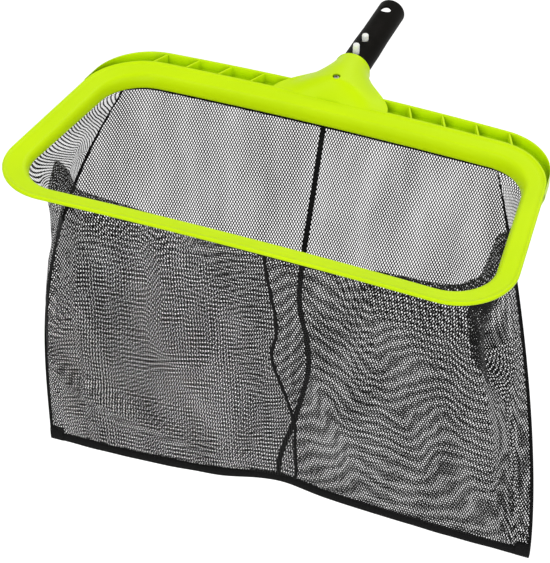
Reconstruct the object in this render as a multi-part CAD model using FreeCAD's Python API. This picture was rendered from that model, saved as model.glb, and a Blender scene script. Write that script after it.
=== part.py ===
from FreeCAD import Vector
import Part
import math
import os

# Leaf skimmer net, also sold as a deep-bag pool leaf rake.
# A moulded frame carries a sewn net bag below its mouth. A tapered handle is screwed into
# the frame's neck, and a one-piece nylon V clip inside the handle locks a telescopic pole.
# Millimetres, +Z up. The origin is on the handle's axis at its open end, where the straight
# guide for the pole begins. +Y points out of the handle along the pole, and +X along the
# width of the mouth.

# Handle
exposed_length = 110.0
insert_depth = 55.0
guide_diameter = 28.0
guide_length = 47.0
taper_length = 24.0
root_diameter = 29.2
handle_bore = 24.0
handle_edge_round = 0.7
end_hole_diameter = 10.5
end_hole_distance = 17.5
socket_clearance = 0.05

# Snap clip
clip_pivot_distance = 35.0
clip_pivot_height = 3.0
snap_pin_distance = 76.5
button_to_collar = 8.0
clip_pin_diameter = 6.5
snap_pin_height = 5.2
finger_button_height = 9.6
arm_thickness = 1.8
arm_width = 12.0
arm_overhang = 4.0
arm_wall_gap = 0.3
bend_gap = 0.3
clip_press_angle = 7.6
pin_slot_clearance = 0.5
pin_crown = 0.9

# Mouth of the frame, measured along the outer edge of its lip
front_width = 501.0
rear_width = 448.0
mouth_depth = 237.5
front_corner_radius = 55.0
rear_corner_radius = 61.0
front_bow = 6.3
rear_bow = 6.7
collar_to_rim = 69.3
rim_height = 5.2

# Section of the lip, from the rim inwards and down to the throat
lip_width = 21.5
rim_thickness = 3.2
rim_bead = 2.0
bead_step = 0.6
crease_inset = 14.5
crease_drop = 2.5
crease_back_inset = 10.5
throat_back_height = 1.5
throat_drop_front = 11.0
throat_drop_rear = 17.0
throat_land = 10.4
corner_tightening = 0.75
wall_steps = 5

# Groove under the throat, and what it holds
groove_width = 3.6
groove_depth = 4.2
groove_inner_wall = 4.6
spline_height = 3.6
groove_clearance = 0.05
binding_thickness = 1.5
binding_height = 6.5

# Ribbed channel behind the rear of the lip
channel_width = 17.0
channel_depth = 13.0
channel_floor = 2.5
channel_wall = 2.6
channel_rim_wall = 1.5
channel_corner_radius = 60.0
channel_bow = 9.6
channel_rim_inset = 2.5
channel_end = 60.0
rib_pitch = 33.3
rib_first = 50.0
rib_count_per_side = 5
rib_thickness = 2.4
rib_lean = 25.0
rib_drop = 0.6

# Neck
collar_radius = 18.3
neck_wall = 4.0
neck_top = 20.5
neck_root_top = 5.0
neck_half_width = 58.0
neck_flare = 1.15
neck_rise_end = 0.3
neck_settle_start = 0.55
neck_level_start = 0.3
neck_swell = 1.6
neck_wing_drop = 0.5
neck_keel = 2.0
neck_side_angle = math.radians(12)
neck_steps = 12
neck_sections = 8
neck_start = 3.0

# Screw through the neck into the handle
collar_to_screw = 45.5
screw_head_diameter = 6.6
screw_head_height = 2.4
screw_head_crown = 0.9
screw_shank_diameter = 3.6
screw_recess_diameter = 8.6
screw_recess_depth = 3.0
screw_clearance = 0.1
screw_length = 12.0
screw_slot_width = 1.0

# Net bag. The hem's middle line runs from end to end in straight stretches, raised and drawn
# back a little where the two centre seams pull it.
net_thickness = 0.8
bag_gap = 0.3
hem_course = [
    Vector(-240, -336, -377), Vector(-90, -328, -374), Vector(4, -315, -366),
    Vector(110, -318, -370), Vector(271, -322, -364)]
hem_depth = 6.4
hem_height = 11.0
patch_width = 13.0
patch_height = 18.0
patch_cover = 1.0
seam_width = 5.0
front_seam_top = 22.0
front_seam_foot = 24.0
back_seam_top = 0.0
back_seam_foot = 6.0
left_seam_across = -197.0
left_seam_from_rear = 25.7
right_seam_across = 183.0
right_seam_from_rear = 20.7
side_seam_top = -20.0

# How soon each seam, and each front corner, leaves the mouth's outline for the hem: sideways,
# and forwards as the mean of two. 1 runs straight, more leaves sooner, less hangs down longer.
front_haste = (1.2, 1.0, 1.0)
back_haste = (1.5, 1.4, 1.4)
left_haste = (3.0, 3.4, 3.4)
right_haste = (1.4, 1.1, 1.1)
left_corner_haste = (0.7, 12.0, 0.3)
right_corner_haste = (1.0, 0.6, 0.6)

# The side gussets end this far in from the hem's ends. The mouth's own outline fades out of
# the net by this power of the share still to go down.
left_gusset_foot = 10.0
right_gusset_foot = 32.0
fold_fade = 8

# Where the sides of the net are drawn in under the mouth, all on the front panels: station of
# the mouth, share of the way down, reach along the mouth and down, and depth.
gathers = [(2.5, 0.24, 0.4, 0.17, 28.0), (6.5, 0.12, 0.5, 0.14, 9.0), (7.5, 0.2, 0.6, 0.25, 12.0)]
gather_start = 0.06

bag_levels = (0, 0.07, 0.16, 0.28, 0.44, 0.62, 0.8, 0.9, 1)
ring_steps = (9, 3, 3, 3, 8, 3, 3, 3)
least_step = 0.1

# Derived places
handle_radius = root_diameter / 2
handle_length = exposed_length + insert_depth
collar_y = -exposed_length
finger_button_distance = exposed_length - button_to_collar
screw_distance = exposed_length + collar_to_screw
rear_rim_y = collar_y - collar_to_rim
mouth_y = rear_rim_y - mouth_depth / 2
groove_outer_wall = throat_land - groove_width - groove_inner_wall


def circle_radius(chord, bow):
    """Radius of the arc that stands bow proud of its chord."""
    return (chord * chord / 4 + bow * bow) / (2 * bow)


def rounded_mouth(front, rear, depth, corner_front, corner_rear, bow_front, bow_rear, inset):
    """Mouth outline in the XY plane, centred on the origin, moved inwards by inset.

    Both long edges are shallow arcs that bow towards +Y, and the sides are straight.
    Returns a closed wire of eight edges, starting with the front edge.
    """
    side = Vector((rear - front) / 2, depth, 0).normalize()
    inward = Vector(-side.y, side.x, 0)
    front_big = circle_radius(front, bow_front)
    rear_big = circle_radius(rear, bow_rear)
    front_centre = Vector(0, -depth / 2 + bow_front - front_big, 0)
    rear_centre = Vector(0, depth / 2 + bow_rear - rear_big, 0)
    start = Vector(front / 2, -depth / 2, 0) + inward * inset

    def corner(radius, big_centre, reach, near_y):
        base = start + inward * radius - big_centre
        along = base.dot(side)
        root = math.sqrt(along * along - base.dot(base) + reach * reach)
        options = [start + inward * radius + side * (-along + sign * root) for sign in (-1, 1)]
        centre = min(options, key=lambda point: abs(point.y - near_y))
        on_side = centre - inward * radius
        towards = (centre - big_centre).normalize()
        return centre, on_side, towards

    front_big_inset = front_big + inset
    rear_big_inset = rear_big - inset
    centre_a, side_a, out_a = corner(
        corner_front, front_centre, front_big_inset + corner_front, -depth / 2)
    centre_b, side_b, out_b = corner(
        corner_rear, rear_centre, rear_big_inset - corner_rear, depth / 2)
    long_a = front_centre + out_a * front_big_inset
    long_b = rear_centre + out_b * rear_big_inset
    middle_a = front_centre + Vector(0, front_big_inset, 0)
    middle_b = rear_centre + Vector(0, rear_big_inset, 0)

    def halfway(centre, first, last, radius):
        return centre + ((first - centre) + (last - centre)).normalize() * radius

    def mirrored(point):
        return Vector(-point.x, point.y, point.z)

    bend_a = halfway(centre_a, long_a, side_a, corner_front)
    bend_b = halfway(centre_b, side_b, long_b, corner_rear)
    edges = [
        Part.Arc(mirrored(long_a), middle_a, long_a),
        Part.Arc(long_a, bend_a, side_a),
        Part.LineSegment(side_a, side_b),
        Part.Arc(side_b, bend_b, long_b),
        Part.Arc(long_b, middle_b, mirrored(long_b)),
        Part.Arc(mirrored(long_b), mirrored(bend_b), mirrored(side_b)),
        Part.LineSegment(mirrored(side_b), mirrored(side_a)),
        Part.Arc(mirrored(side_a), mirrored(bend_a), mirrored(long_a)),
    ]
    return Part.Wire([edge.toShape() for edge in edges])


def mouth_ring(inset, drop_front, drop_rear):
    """Outline of the mouth, inset from the rim, dropped more at the rear than at the front."""
    wire = rounded_mouth(
        front_width, rear_width, mouth_depth,
        front_corner_radius - corner_tightening * inset,
        rear_corner_radius - corner_tightening * inset,
        front_bow, rear_bow, inset)
    tilt = math.degrees(math.atan2(drop_front - drop_rear, mouth_depth - 2 * lip_width))
    wire.rotate(Vector(0, 0, 0), Vector(1, 0, 0), tilt)
    wire.translate(Vector(0, mouth_y, rim_height - (drop_front + drop_rear) / 2))
    return wire


def throat_ring(inset, below):
    """A ring parallel to the throat's lower edge, below it by the given distance."""
    return mouth_ring(inset, throat_drop_front + below, throat_drop_rear + below)


def channel_ring(inset):
    """Outer edge of the rear channel, on the sides in line with the rim."""
    shrink = channel_width * (front_width - rear_width) / mouth_depth
    return rounded_mouth(
        front_width, rear_width - shrink, mouth_depth + channel_width,
        front_corner_radius, channel_corner_radius - inset,
        front_bow, channel_bow, inset)


def loft(rings, ruled=True):
    return Part.makeLoft(rings, True, ruled)


def band(outer_inset, inner_inset, top_below, bottom_below):
    """A closed strip that runs round under the throat."""
    outer = loft([throat_ring(outer_inset, top_below), throat_ring(outer_inset, bottom_below)])
    margin = 1.0
    inner = loft([
        throat_ring(inner_inset, top_below - margin),
        throat_ring(inner_inset, bottom_below + margin)])
    return outer.cut(inner)


def flat_region(wire, low, high):
    """Upright prism of a wire drawn round the origin, set at the mouth."""
    face = Part.Face(wire)
    face.translate(Vector(0, mouth_y + channel_width / 2, low))
    return face.extrude(Vector(0, 0, high - low))


def cylinder_y(radius, start, end):
    """Round bar along Y between two places on the handle's axis."""
    low = min(start, end)
    return Part.makeCylinder(radius, abs(end - start), Vector(0, low, 0), Vector(0, 1, 0))


def make_lip():
    """Flared lip: a rim, a shallow outer slope, and a steeper wall down to the throat."""
    outside = loft([
        mouth_ring(0, 0, 0),
        mouth_ring(0, rim_thickness, rim_thickness),
        mouth_ring(crease_back_inset, crease_drop + rim_thickness, crease_drop + rim_thickness),
        throat_ring(lip_width - throat_land, -throat_back_height),
        throat_ring(lip_width - throat_land, 0),
    ])
    return outside


def make_funnel():
    """The opening inside the lip: a bead, a shallow slope, and a wall that rolls down.

    The wall is a quarter of an ellipse that starts level and ends upright at the throat.
    """
    above = 30.0
    rings = [
        mouth_ring(rim_bead, -above, -above),
        mouth_ring(rim_bead, 0, 0),
        mouth_ring(rim_bead + bead_step, bead_step, bead_step),
        mouth_ring(crease_inset, crease_drop, crease_drop),
    ]
    for step in range(1, wall_steps + 1):
        angle = math.pi / 2 * step / wall_steps
        across = math.sin(angle)
        down = 1 - math.cos(angle)
        rings.append(mouth_ring(
            crease_inset + across * (lip_width - crease_inset),
            crease_drop + down * (throat_drop_front - crease_drop),
            crease_drop + down * (throat_drop_rear - crease_drop)))
    rings.append(throat_ring(lip_width, 3))
    return loft(rings)


def make_groove():
    """Downward groove that takes the edge of the net and the spline that holds it."""
    return band(
        lip_width - throat_land + groove_outer_wall, lip_width - groove_inner_wall,
        -groove_depth, 1.0)


def make_channel():
    """Trough behind the rear of the lip, its cavity, and the leaning ribs across it."""
    top = rim_height
    bottom = rim_height - channel_depth
    rim_inner = rounded_mouth(
        front_width, rear_width, mouth_depth,
        front_corner_radius, rear_corner_radius - channel_rim_inset,
        front_bow, rear_bow, channel_rim_inset)
    rim_outer = rounded_mouth(
        front_width, rear_width, mouth_depth, front_corner_radius,
        rear_corner_radius + channel_rim_wall, front_bow, rear_bow, -channel_rim_wall)
    back = Vector(0, -channel_width / 2, 0)
    body = flat_region(channel_ring(0), bottom, top)
    inside_rim = flat_region(rim_inner, bottom - 1, top + 1)
    inside_rim.translate(back)
    body = body.cut(inside_rim)
    reach = 2 * front_width
    front_part = Part.makeBox(
        reach, mouth_depth, 4 * channel_depth,
        Vector(-reach / 2, mouth_y + channel_end - mouth_depth, bottom - channel_depth))
    body = body.cut(front_part)
    cavity = flat_region(channel_ring(channel_wall), bottom + channel_floor, top + 1)
    rim_block = flat_region(rim_outer, bottom, top + 2)
    rim_block.translate(back)
    cavity = cavity.cut(rim_block)
    cavity = cavity.cut(front_part)
    ribs = []
    rib_length = 3 * channel_width
    for side in (-1, 1):
        for index in range(rib_count_per_side):
            foot = side * (rib_first + index * rib_pitch)
            rib = Part.makeBox(
                rib_thickness, rib_length, channel_depth - rib_drop,
                Vector(-rib_thickness / 2, -rib_length / 3, bottom))
            rib.rotate(Vector(0, 0, 0), Vector(0, 0, 1), side * rib_lean)
            rib.translate(Vector(foot, rear_rim_y + rear_bow / 2, 0))
            ribs.append(rib.common(cavity))
    return body, cavity, ribs


def neck_section(y, half_width, top, wing_top, wing_bottom, bottom, swell):
    """Section across the neck: a round ridge above and below two flatter wings.

    A swell of 1 gives a circle, and a larger one draws the ridge in between the wings.
    """
    low = math.sin(neck_side_angle)
    spread = math.cos(neck_side_angle)

    def curve(sign, wing, end):
        points = []
        for step in range(neck_steps + 1):
            share = step / neck_steps
            angle = neck_side_angle + share * (math.pi - 2 * neck_side_angle)
            rise = max(0, (math.sin(angle) - low) / (1 - low)) ** swell
            points.append(Vector(
                sign * half_width * math.cos(angle) / spread, y, wing + (end - wing) * rise))
        spline = Part.BSplineCurve()
        spline.interpolate(points)
        return spline.toShape(), points[0], points[-1]

    upper, right_top, left_top = curve(1, wing_top, top)
    lower, left_bottom, right_bottom = curve(-1, wing_bottom, bottom)
    return Part.Wire([
        upper, Part.makeLine(left_top, left_bottom),
        lower, Part.makeLine(right_bottom, right_top)])


def make_neck():
    """Fairing that rises from the channel and closes round the handle as a collar."""
    start = rear_rim_y + rear_bow - neck_start
    floor = rim_height - channel_depth
    tube = handle_radius + neck_wall
    side = collar_radius * math.sin(neck_side_angle)
    across = collar_radius * math.cos(neck_side_angle)
    root_wing = rim_height - neck_wing_drop
    keel = floor - neck_keel
    sections = []
    for index in range(neck_sections):
        share = index / (neck_sections - 1)
        y = start + share * (collar_y - start)
        spread = (0.5 + 0.5 * math.cos(math.pi * share)) ** neck_flare
        rise = math.sin(math.pi / 2 * min(1, share / neck_rise_end))
        settle = blend_share(share, neck_settle_start, 1.0)
        level = blend_share(share, neck_level_start, 1.0)
        half_width = across + spread * (neck_half_width - across)
        top = neck_root_top + rise * (neck_top - neck_root_top)
        top = top + settle * (collar_radius - top)
        bottom = keel - rise * (tube + keel)
        bottom = bottom + settle * (-collar_radius - bottom)
        wing_top = root_wing + level * (side - root_wing)
        wing_bottom = floor + level * (-side - floor)
        swell = 1 + neck_swell * (1 - blend_share(share, 0.1, 1.0))
        sections.append(
            neck_section(y, half_width, top, wing_top, wing_bottom, bottom, swell))
    return loft(sections, ruled=False)


def blend_share(share, start, end):
    """Smooth change from 0 to 1 between two places along the neck."""
    inside = max(0, min(1, (share - start) / (end - start)))
    return inside * inside * (3 - 2 * inside)


def screw_seat():
    """Height of the recess floor under the screw's head."""
    return neck_top - screw_recess_depth


def make_frame():
    funnel = make_funnel()
    body, cavity, ribs = make_channel()
    frame = make_lip().fuse(body)
    frame = frame.cut(cavity)
    frame = frame.fuse(ribs)
    frame = frame.fuse(make_neck())
    frame = frame.cut(funnel)
    frame = frame.cut(make_groove())
    socket = cylinder_y(
        handle_radius + socket_clearance, collar_y + neck_wall, -handle_length)
    frame = frame.cut(socket)
    place = Vector(0, -screw_distance, screw_seat())
    recess = Part.makeCylinder(screw_recess_diameter / 2, 3 * screw_recess_depth, place)
    through = Part.makeCylinder(
        screw_shank_diameter / 2 + screw_clearance, screw_length,
        place - Vector(0, 0, screw_length))
    frame = frame.cut(recess)
    frame = frame.cut(through)
    return frame.removeSplitter()


def make_handle():
    """Tube that is straight at its tip, where the pole is guided, and then swells to its root."""
    guide = guide_diameter / 2
    profile = [
        Vector(0, handle_edge_round, 0),
        Vector(0, handle_edge_round, guide - handle_edge_round),
        Vector(0, 0, guide),
        Vector(0, -guide_length, guide),
        Vector(0, -guide_length - taper_length, handle_radius),
        Vector(0, -handle_length, handle_radius),
        Vector(0, -handle_length, 0),
        Vector(0, handle_edge_round, 0),
    ]
    body = Part.Face(Part.makePolygon(profile))
    body = body.revolve(Vector(0, 0, 0), Vector(0, 1, 0), 360)
    tube = body.cut(cylinder_y(handle_bore / 2, 2 * handle_edge_round, -handle_length - 1))
    height = 3 * root_diameter
    end_hole = Part.makeCylinder(
        end_hole_diameter / 2, height, Vector(0, -end_hole_distance, -height / 2))
    tube = tube.cut(end_hole)
    slots = [
        pin_slot(snap_pin_distance, snap_pin_height),
        pin_slot(finger_button_distance, finger_button_height),
    ]
    tube = tube.cut(slots)
    pilot = Part.makeCylinder(
        screw_shank_diameter / 2 + screw_clearance, root_diameter,
        Vector(0, -screw_distance, 0))
    return tube.cut(pilot)


def pin_slot(distance, pin_height):
    """Slot through both walls, longer towards the collar for the pin's swing."""
    swing = (handle_radius + pin_height - clip_pivot_height) * math.sin(
        math.radians(clip_press_angle))
    radius = clip_pin_diameter / 2 + pin_slot_clearance
    height = 3 * root_diameter
    first = Part.makeCylinder(radius, height, Vector(0, -distance, -height / 2))
    last = Part.makeCylinder(radius, height, Vector(0, -distance - swing, -height / 2))
    middle = Part.makeBox(
        2 * radius, swing, height, Vector(-radius, -distance - swing, -height / 2))
    return first.fuse([last, middle])


def make_screw():
    """Pan-head screw with a cross recess."""
    seat = Vector(0, -screw_distance, screw_seat())
    head = Part.makeCylinder(screw_head_diameter / 2, screw_head_height, seat)
    top_edges = [
        edge for edge in head.Edges
        if len(edge.Vertexes) == 1 and edge.CenterOfMass.z > seat.z + screw_head_height / 2]
    head = head.makeChamfer(screw_head_crown, top_edges)
    shank = Part.makeCylinder(
        screw_shank_diameter / 2, screw_length, seat - Vector(0, 0, screw_length))
    screw = head.fuse(shank)
    reach = 0.7 * screw_head_diameter
    for angle in (0, 90):
        slot = Part.makeBox(
            reach, screw_slot_width, screw_head_height,
            Vector(-reach / 2, -screw_slot_width / 2, 0))
        slot.rotate(Vector(0, 0, 0), Vector(0, 0, 1), 45 + angle)
        slot.translate(seat + Vector(0, 0, screw_head_height * 0.55))
        screw = screw.cut(slot)
    return screw


def make_clip_arm():
    """Upper leg of the V clip, with the snap pin and the taller finger button."""
    length = finger_button_distance - clip_pivot_distance + arm_overhang
    bore = handle_bore / 2
    rise = bore - arm_wall_gap - arm_thickness / 2 - 0.15 - clip_pivot_height
    slope = math.degrees(math.atan2(rise, length))
    leg = Part.makeBox(
        arm_width, length - bend_gap, arm_thickness,
        Vector(-arm_width / 2, -length, -arm_thickness / 2))
    leg.rotate(Vector(0, 0, 0), Vector(1, 0, 0), -slope)
    leg.translate(Vector(0, -clip_pivot_distance, clip_pivot_height))
    leg = leg.common(cylinder_y(bore - arm_wall_gap, 0, -handle_length))
    pins = []
    for distance, height in (
            (snap_pin_distance, snap_pin_height),
            (finger_button_distance, finger_button_height)):
        along = distance - clip_pivot_distance
        foot = clip_pivot_height + along * rise / length
        pin = Part.makeCylinder(
            clip_pin_diameter / 2, handle_radius + height - foot, Vector(0, -distance, foot))
        rim = [
            edge for edge in pin.Edges
            if len(edge.Vertexes) == 1 and edge.CenterOfMass.z > foot + height]
        pins.append(pin.makeChamfer(pin_crown, rim))
    return leg.fuse(pins)


def make_clip_bend():
    """Round bend that joins the two legs of the V clip."""
    outer = clip_pivot_height + arm_thickness / 2
    inner = clip_pivot_height - arm_thickness / 2
    place = Vector(-arm_width / 2, -clip_pivot_distance, 0)
    along = Vector(1, 0, 0)
    ring = Part.makeCylinder(outer, arm_width, place, along)
    ring = ring.cut(Part.makeCylinder(inner, arm_width, place, along))
    keep = Part.makeBox(
        arm_width, outer, 2 * outer, Vector(-arm_width / 2, -clip_pivot_distance, -outer))
    return ring.common(keep)


def hem_middle(across):
    """Point of the hem's middle line at a place across the net."""
    for first, last in zip(hem_course, hem_course[1:]):
        if across <= last.x:
            share = (across - first.x) / (last.x - first.x)
            return first + (last - first) * share
    return hem_course[-1]


def ring_point(ring, station):
    """Point of a mouth outline: a station is the number of an edge and a share along it."""
    edge = ring.Edges[int(station) % len(ring.Edges)]
    span = edge.LastParameter - edge.FirstParameter
    return edge.valueAt(edge.FirstParameter + (station % 1) * span)


def corner_station(ring, edge_number, place):
    """Station on a corner of the outline nearest a place."""
    shares = [step / 100 for step in range(100)]
    share = min(shares, key=lambda one: (ring_point(ring, edge_number + one) - place).Length)
    return edge_number + share


def drawn_in(down, haste):
    """Share of the way from the mouth's outline to the hem's, at a share of the way down."""
    if haste < 1:
        return down ** (1 / haste)
    return 1 - (1 - down) ** haste


def net_column(rings, station, foot_x, face, haste):
    """Points down the outside and the inside of the net at one station of the mouth.

    Face is -1 on the front of the bag and 1 on its back.
    """
    sideways, forwards, forwards_late = haste
    hem_start = hem_course[0].x
    hem_length = hem_course[-1].x - hem_start
    along = (foot_x - hem_start) / hem_length
    lines = []
    for ring, depth in zip(rings, (0, net_thickness)):
        top = ring_point(ring, station)
        foot = hem_middle(hem_start + depth + along * (hem_length - 2 * depth))
        foot = foot + Vector(0, face * (hem_depth / 2 - depth), hem_height / 2 + bag_gap)
        line = []
        for down in bag_levels:
            aside = drawn_in(down, sideways)
            ahead = (drawn_in(down, forwards) + drawn_in(down, forwards_late)) / 2
            line.append(Vector(
                top.x + (foot.x - top.x) * aside,
                top.y + (foot.y - top.y) * ahead,
                top.z + (foot.z - top.z) * down))
        lines.append(line)
    return lines


def hung_between(first, second, share, ends):
    """Column between two others, that leaves their common plane only to meet its own ends."""
    lines = []
    for before, after, end in zip(first, second, ends):
        mixed = [a + (b - a) * share for a, b in zip(before, after)]
        off_top = end[0] - mixed[0]
        off_foot = end[-1] - mixed[-1]
        lines.append([
            spot + off_top * (1 - down) ** fold_fade + off_foot * down ** fold_fade
            for spot, down in zip(mixed, bag_levels)])
    return lines


def gathered(lines, station):
    """A column of the front panels, drawn in towards the middle of the mouth."""
    top = lines[0][0]
    inward = Vector(-top.x / front_width, (mouth_y - top.y) / mouth_depth, 0).normalize()
    moved = []
    for line in lines:
        spots = []
        for spot, down in zip(line, bag_levels):
            push = 0
            for middle, height, reach_along, reach_down, depth in gathers:
                away = ((station - middle) / reach_along) ** 2
                away = away + ((down - height) / reach_down) ** 2
                push = push + depth * math.exp(-away) * min(1, down / gather_start)
            ending = 1 - max(0, down - 0.8) / 0.2
            spots.append(spot + inward * push * ending)
        moved.append(spots)
    return moved


def net_columns(rings, face, knots):
    """Columns across one panel. A knot is a station of the mouth, its foot, and its haste."""
    fixed = [knot[0] for knot in knots]
    chosen = list(fixed)
    for edge in range(int(fixed[0]), int(fixed[-1]) + 1):
        steps = ring_steps[edge % len(ring_steps)]
        for step in range(steps):
            station = edge + step / steps
            apart = min(abs(station - one) for one in fixed)
            if fixed[0] < station < fixed[-1] and apart > least_step:
                chosen.append(station)
    chosen.sort()
    spots = [ring_point(rings[0], one) for one in chosen]
    runs = [0]
    for before, after in zip(spots, spots[1:]):
        runs.append(runs[-1] + (after - before).Length)
    marks = [runs[chosen.index(one)] for one in fixed]
    held = [net_column(rings, station, foot_x, face, haste) for station, foot_x, haste in knots]
    columns = []
    for station, run in zip(chosen, runs):
        part = max(index for index in range(len(marks) - 1) if run >= marks[index])
        share = (run - marks[part]) / (marks[part + 1] - marks[part])
        foot_x = knots[part][1] + share * (knots[part + 1][1] - knots[part][1])
        ends = net_column(rings, station, foot_x, face, knots[part][2])
        column = hung_between(held[part], held[part + 1], share, ends)
        between_seams = chosen[0] < station < chosen[-1]
        columns.append(gathered(column, station) if face < 0 and between_seams else column)
    return columns


def net_solid(columns):
    """Thin solid across neighbouring columns, with flat triangles for its sides."""
    faces = []

    def between(first, second):
        for index in range(len(first) - 1):
            for corner in (
                    (first[index], first[index + 1], second[index + 1]),
                    (first[index], second[index + 1], second[index])):
                faces.append(Part.Face(Part.makePolygon(corner + corner[:1])))

    for left, right in zip(columns, columns[1:]):
        between(left[0], right[0])
        between(left[1], right[1])
        for level in (0, -1):
            between([line[level] for line in left], [line[level] for line in right])
    for end in (columns[0], columns[-1]):
        between(end[0], end[1])
    shell = Part.Compound(faces)
    shell.sewShape()
    solid = Part.Solid(shell.Shells[0])
    if solid.Volume < 0:
        solid.reverse()
    return solid


def make_net():
    """Four net panels, and the seams between them, each a solid of its own."""
    outset = lip_width - throat_land + groove_outer_wall + groove_clearance
    outset = outset + (binding_thickness - net_thickness) / 2
    below = binding_height - groove_depth + bag_gap
    rings = [throat_ring(outset + depth, below) for depth in (0, net_thickness)]
    edges = rings[0].Edges
    front = 0.5 + front_seam_top / edges[0].Length
    right = corner_station(rings[0], 3, Vector(
        right_seam_across, rear_rim_y - right_seam_from_rear, side_seam_top))
    back = 4.5 - back_seam_top / edges[4].Length
    left = corner_station(rings[0], 5, Vector(
        left_seam_across, rear_rim_y - left_seam_from_rear, side_seam_top))
    half = seam_width / 2
    front_half = half / edges[0].Length
    back_half = half / edges[4].Length
    corner_half = half / edges[3].Length
    start = hem_course[0].x
    end = hem_course[-1].x
    whole = len(edges)
    front_left_corner = 7.5
    front_right_corner = 1.5
    panels = {
        "front_left_net": net_columns(rings, -1, [
            (left + corner_half, start, left_haste),
            (front_left_corner, start + left_gusset_foot, left_corner_haste),
            (whole + front - front_half, front_seam_foot - half, front_haste)]),
        "front_right_net": net_columns(rings, -1, [
            (front + front_half, front_seam_foot + half, front_haste),
            (front_right_corner, end - right_gusset_foot, right_corner_haste),
            (right - corner_half, end, right_haste)]),
        "back_right_net": net_columns(rings, 1, [
            (right + corner_half, end, right_haste),
            (back - back_half, back_seam_foot + half, back_haste)]),
        "back_left_net": net_columns(rings, 1, [
            (back + back_half, back_seam_foot - half, back_haste),
            (left - corner_half, start, left_haste)]),
    }
    order = ["front_left_net", "front_right_net", "back_right_net", "back_left_net"]
    names = ["front_centre_seam", "right_side_seam", "back_centre_seam", "left_side_seam"]
    seams = {}
    for name, before, after in zip(names, order, order[1:] + order[:1]):
        seams[name] = net_solid([panels[before][-1], panels[after][0]])
    return {name: net_solid(columns) for name, columns in panels.items()}, seams


def hem_bar(places, half_depth, below, above):
    """Bar along the hem, with an upright rectangle for its section."""
    sections = []
    for place in places:
        corners = [
            place + Vector(0, -half_depth, -below), place + Vector(0, half_depth, -below),
            place + Vector(0, half_depth, above), place + Vector(0, -half_depth, above)]
        sections.append(Part.makePolygon(corners + corners[:1]))
    return loft(sections)


def make_hem():
    """Bound bottom edge of the bag with a sewn patch wrapped over each end."""
    half = hem_height / 2
    hem = hem_bar(hem_course, hem_depth / 2, half, half)
    patches = {}
    for name, end, sign in (
            ("left_corner_patch", hem_course[0], -1), ("right_corner_patch", hem_course[-1], 1)):
        outside = end + Vector(sign * patch_cover, 0, 0)
        inside = hem_middle(outside.x - sign * patch_width)
        patches[name] = hem_bar(
            [outside, inside], hem_depth / 2 + patch_cover,
            half + patch_cover, patch_height - half - patch_cover)
    return hem, patches


def make_binding_and_spline():
    """Bound top edge of the net in the groove, and the spline pressed in beside it."""
    outer_wall = lip_width - throat_land + groove_outer_wall
    inner_wall = lip_width - groove_inner_wall
    parting = outer_wall + groove_clearance + binding_thickness
    top = -groove_depth + groove_clearance
    binding = band(
        outer_wall + groove_clearance, parting, top, binding_height - groove_depth)
    spline = band(
        parting + groove_clearance, inner_wall - groove_clearance, top, top + spline_height)
    return binding, spline


def save(shape, name):
    shape = shape.Solids[0] if len(shape.Solids) == 1 else shape
    if not shape.isValid():
        print("invalid", name)
    print(name, len(shape.Solids), round(shape.Volume / 1000, 2), "cm3")
    shape.exportStep("parts/" + name + ".step")


os.makedirs("parts", exist_ok=True)

upper_arm = make_clip_arm()
lower_arm = upper_arm.mirror(Vector(0, 0, 0), Vector(0, 0, 1))
panels, seams = make_net()
hem, patches = make_hem()
binding, spline = make_binding_and_spline()
patch_list = list(patches.values())

save(make_frame(), "frame")
save(make_handle(), "handle_tube")
save(make_screw(), "neck_screw")
save(make_clip_bend(), "clip_bend")
save(upper_arm, "clip_upper_arm")
save(lower_arm, "clip_lower_arm")
save(spline, "retaining_spline")
save(binding, "mouth_binding")
for name, panel in panels.items():
    save(panel.cut(patch_list), name)
for name, seam in seams.items():
    save(seam.cut(patch_list), name)
save(hem.cut(patch_list), "bottom_hem")
for name, patch in patches.items():
    save(patch, name)
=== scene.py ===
import bmesh
import bpy
import math
from mathutils import Matrix, Vector, noise


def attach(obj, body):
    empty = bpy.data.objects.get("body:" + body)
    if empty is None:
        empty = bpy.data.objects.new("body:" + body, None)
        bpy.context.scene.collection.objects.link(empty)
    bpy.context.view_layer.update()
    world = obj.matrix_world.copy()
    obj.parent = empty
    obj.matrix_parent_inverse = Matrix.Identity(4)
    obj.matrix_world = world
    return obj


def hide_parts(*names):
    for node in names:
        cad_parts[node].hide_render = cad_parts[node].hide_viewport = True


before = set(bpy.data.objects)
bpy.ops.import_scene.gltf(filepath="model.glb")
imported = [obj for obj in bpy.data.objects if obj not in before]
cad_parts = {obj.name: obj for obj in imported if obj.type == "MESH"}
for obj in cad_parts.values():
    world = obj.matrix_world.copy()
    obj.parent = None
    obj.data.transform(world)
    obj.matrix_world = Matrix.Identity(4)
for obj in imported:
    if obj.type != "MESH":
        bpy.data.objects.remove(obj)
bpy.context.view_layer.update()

# The studio around the net: a plain white floor well below it, soft light from above and
# from both sides, and a camera above and in front of the mouth, looking down at 40 degrees.
scene = bpy.context.scene
scene.view_settings.view_transform = "Standard"

camera_data = bpy.data.cameras.new("net_camera")
camera_data.sensor_fit = "HORIZONTAL"
camera_data.sensor_width = 36
camera_data.lens = 135.04
camera = bpy.data.objects.new("net_camera", camera_data)
camera.location = (0.5619, -1.6841, 1.1241)
camera.rotation_euler = Vector((-0.2906, 0.7108, -0.6406)).to_track_quat("-Z", "Y").to_euler()
scene.collection.objects.link(camera)
scene.camera = camera


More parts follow.
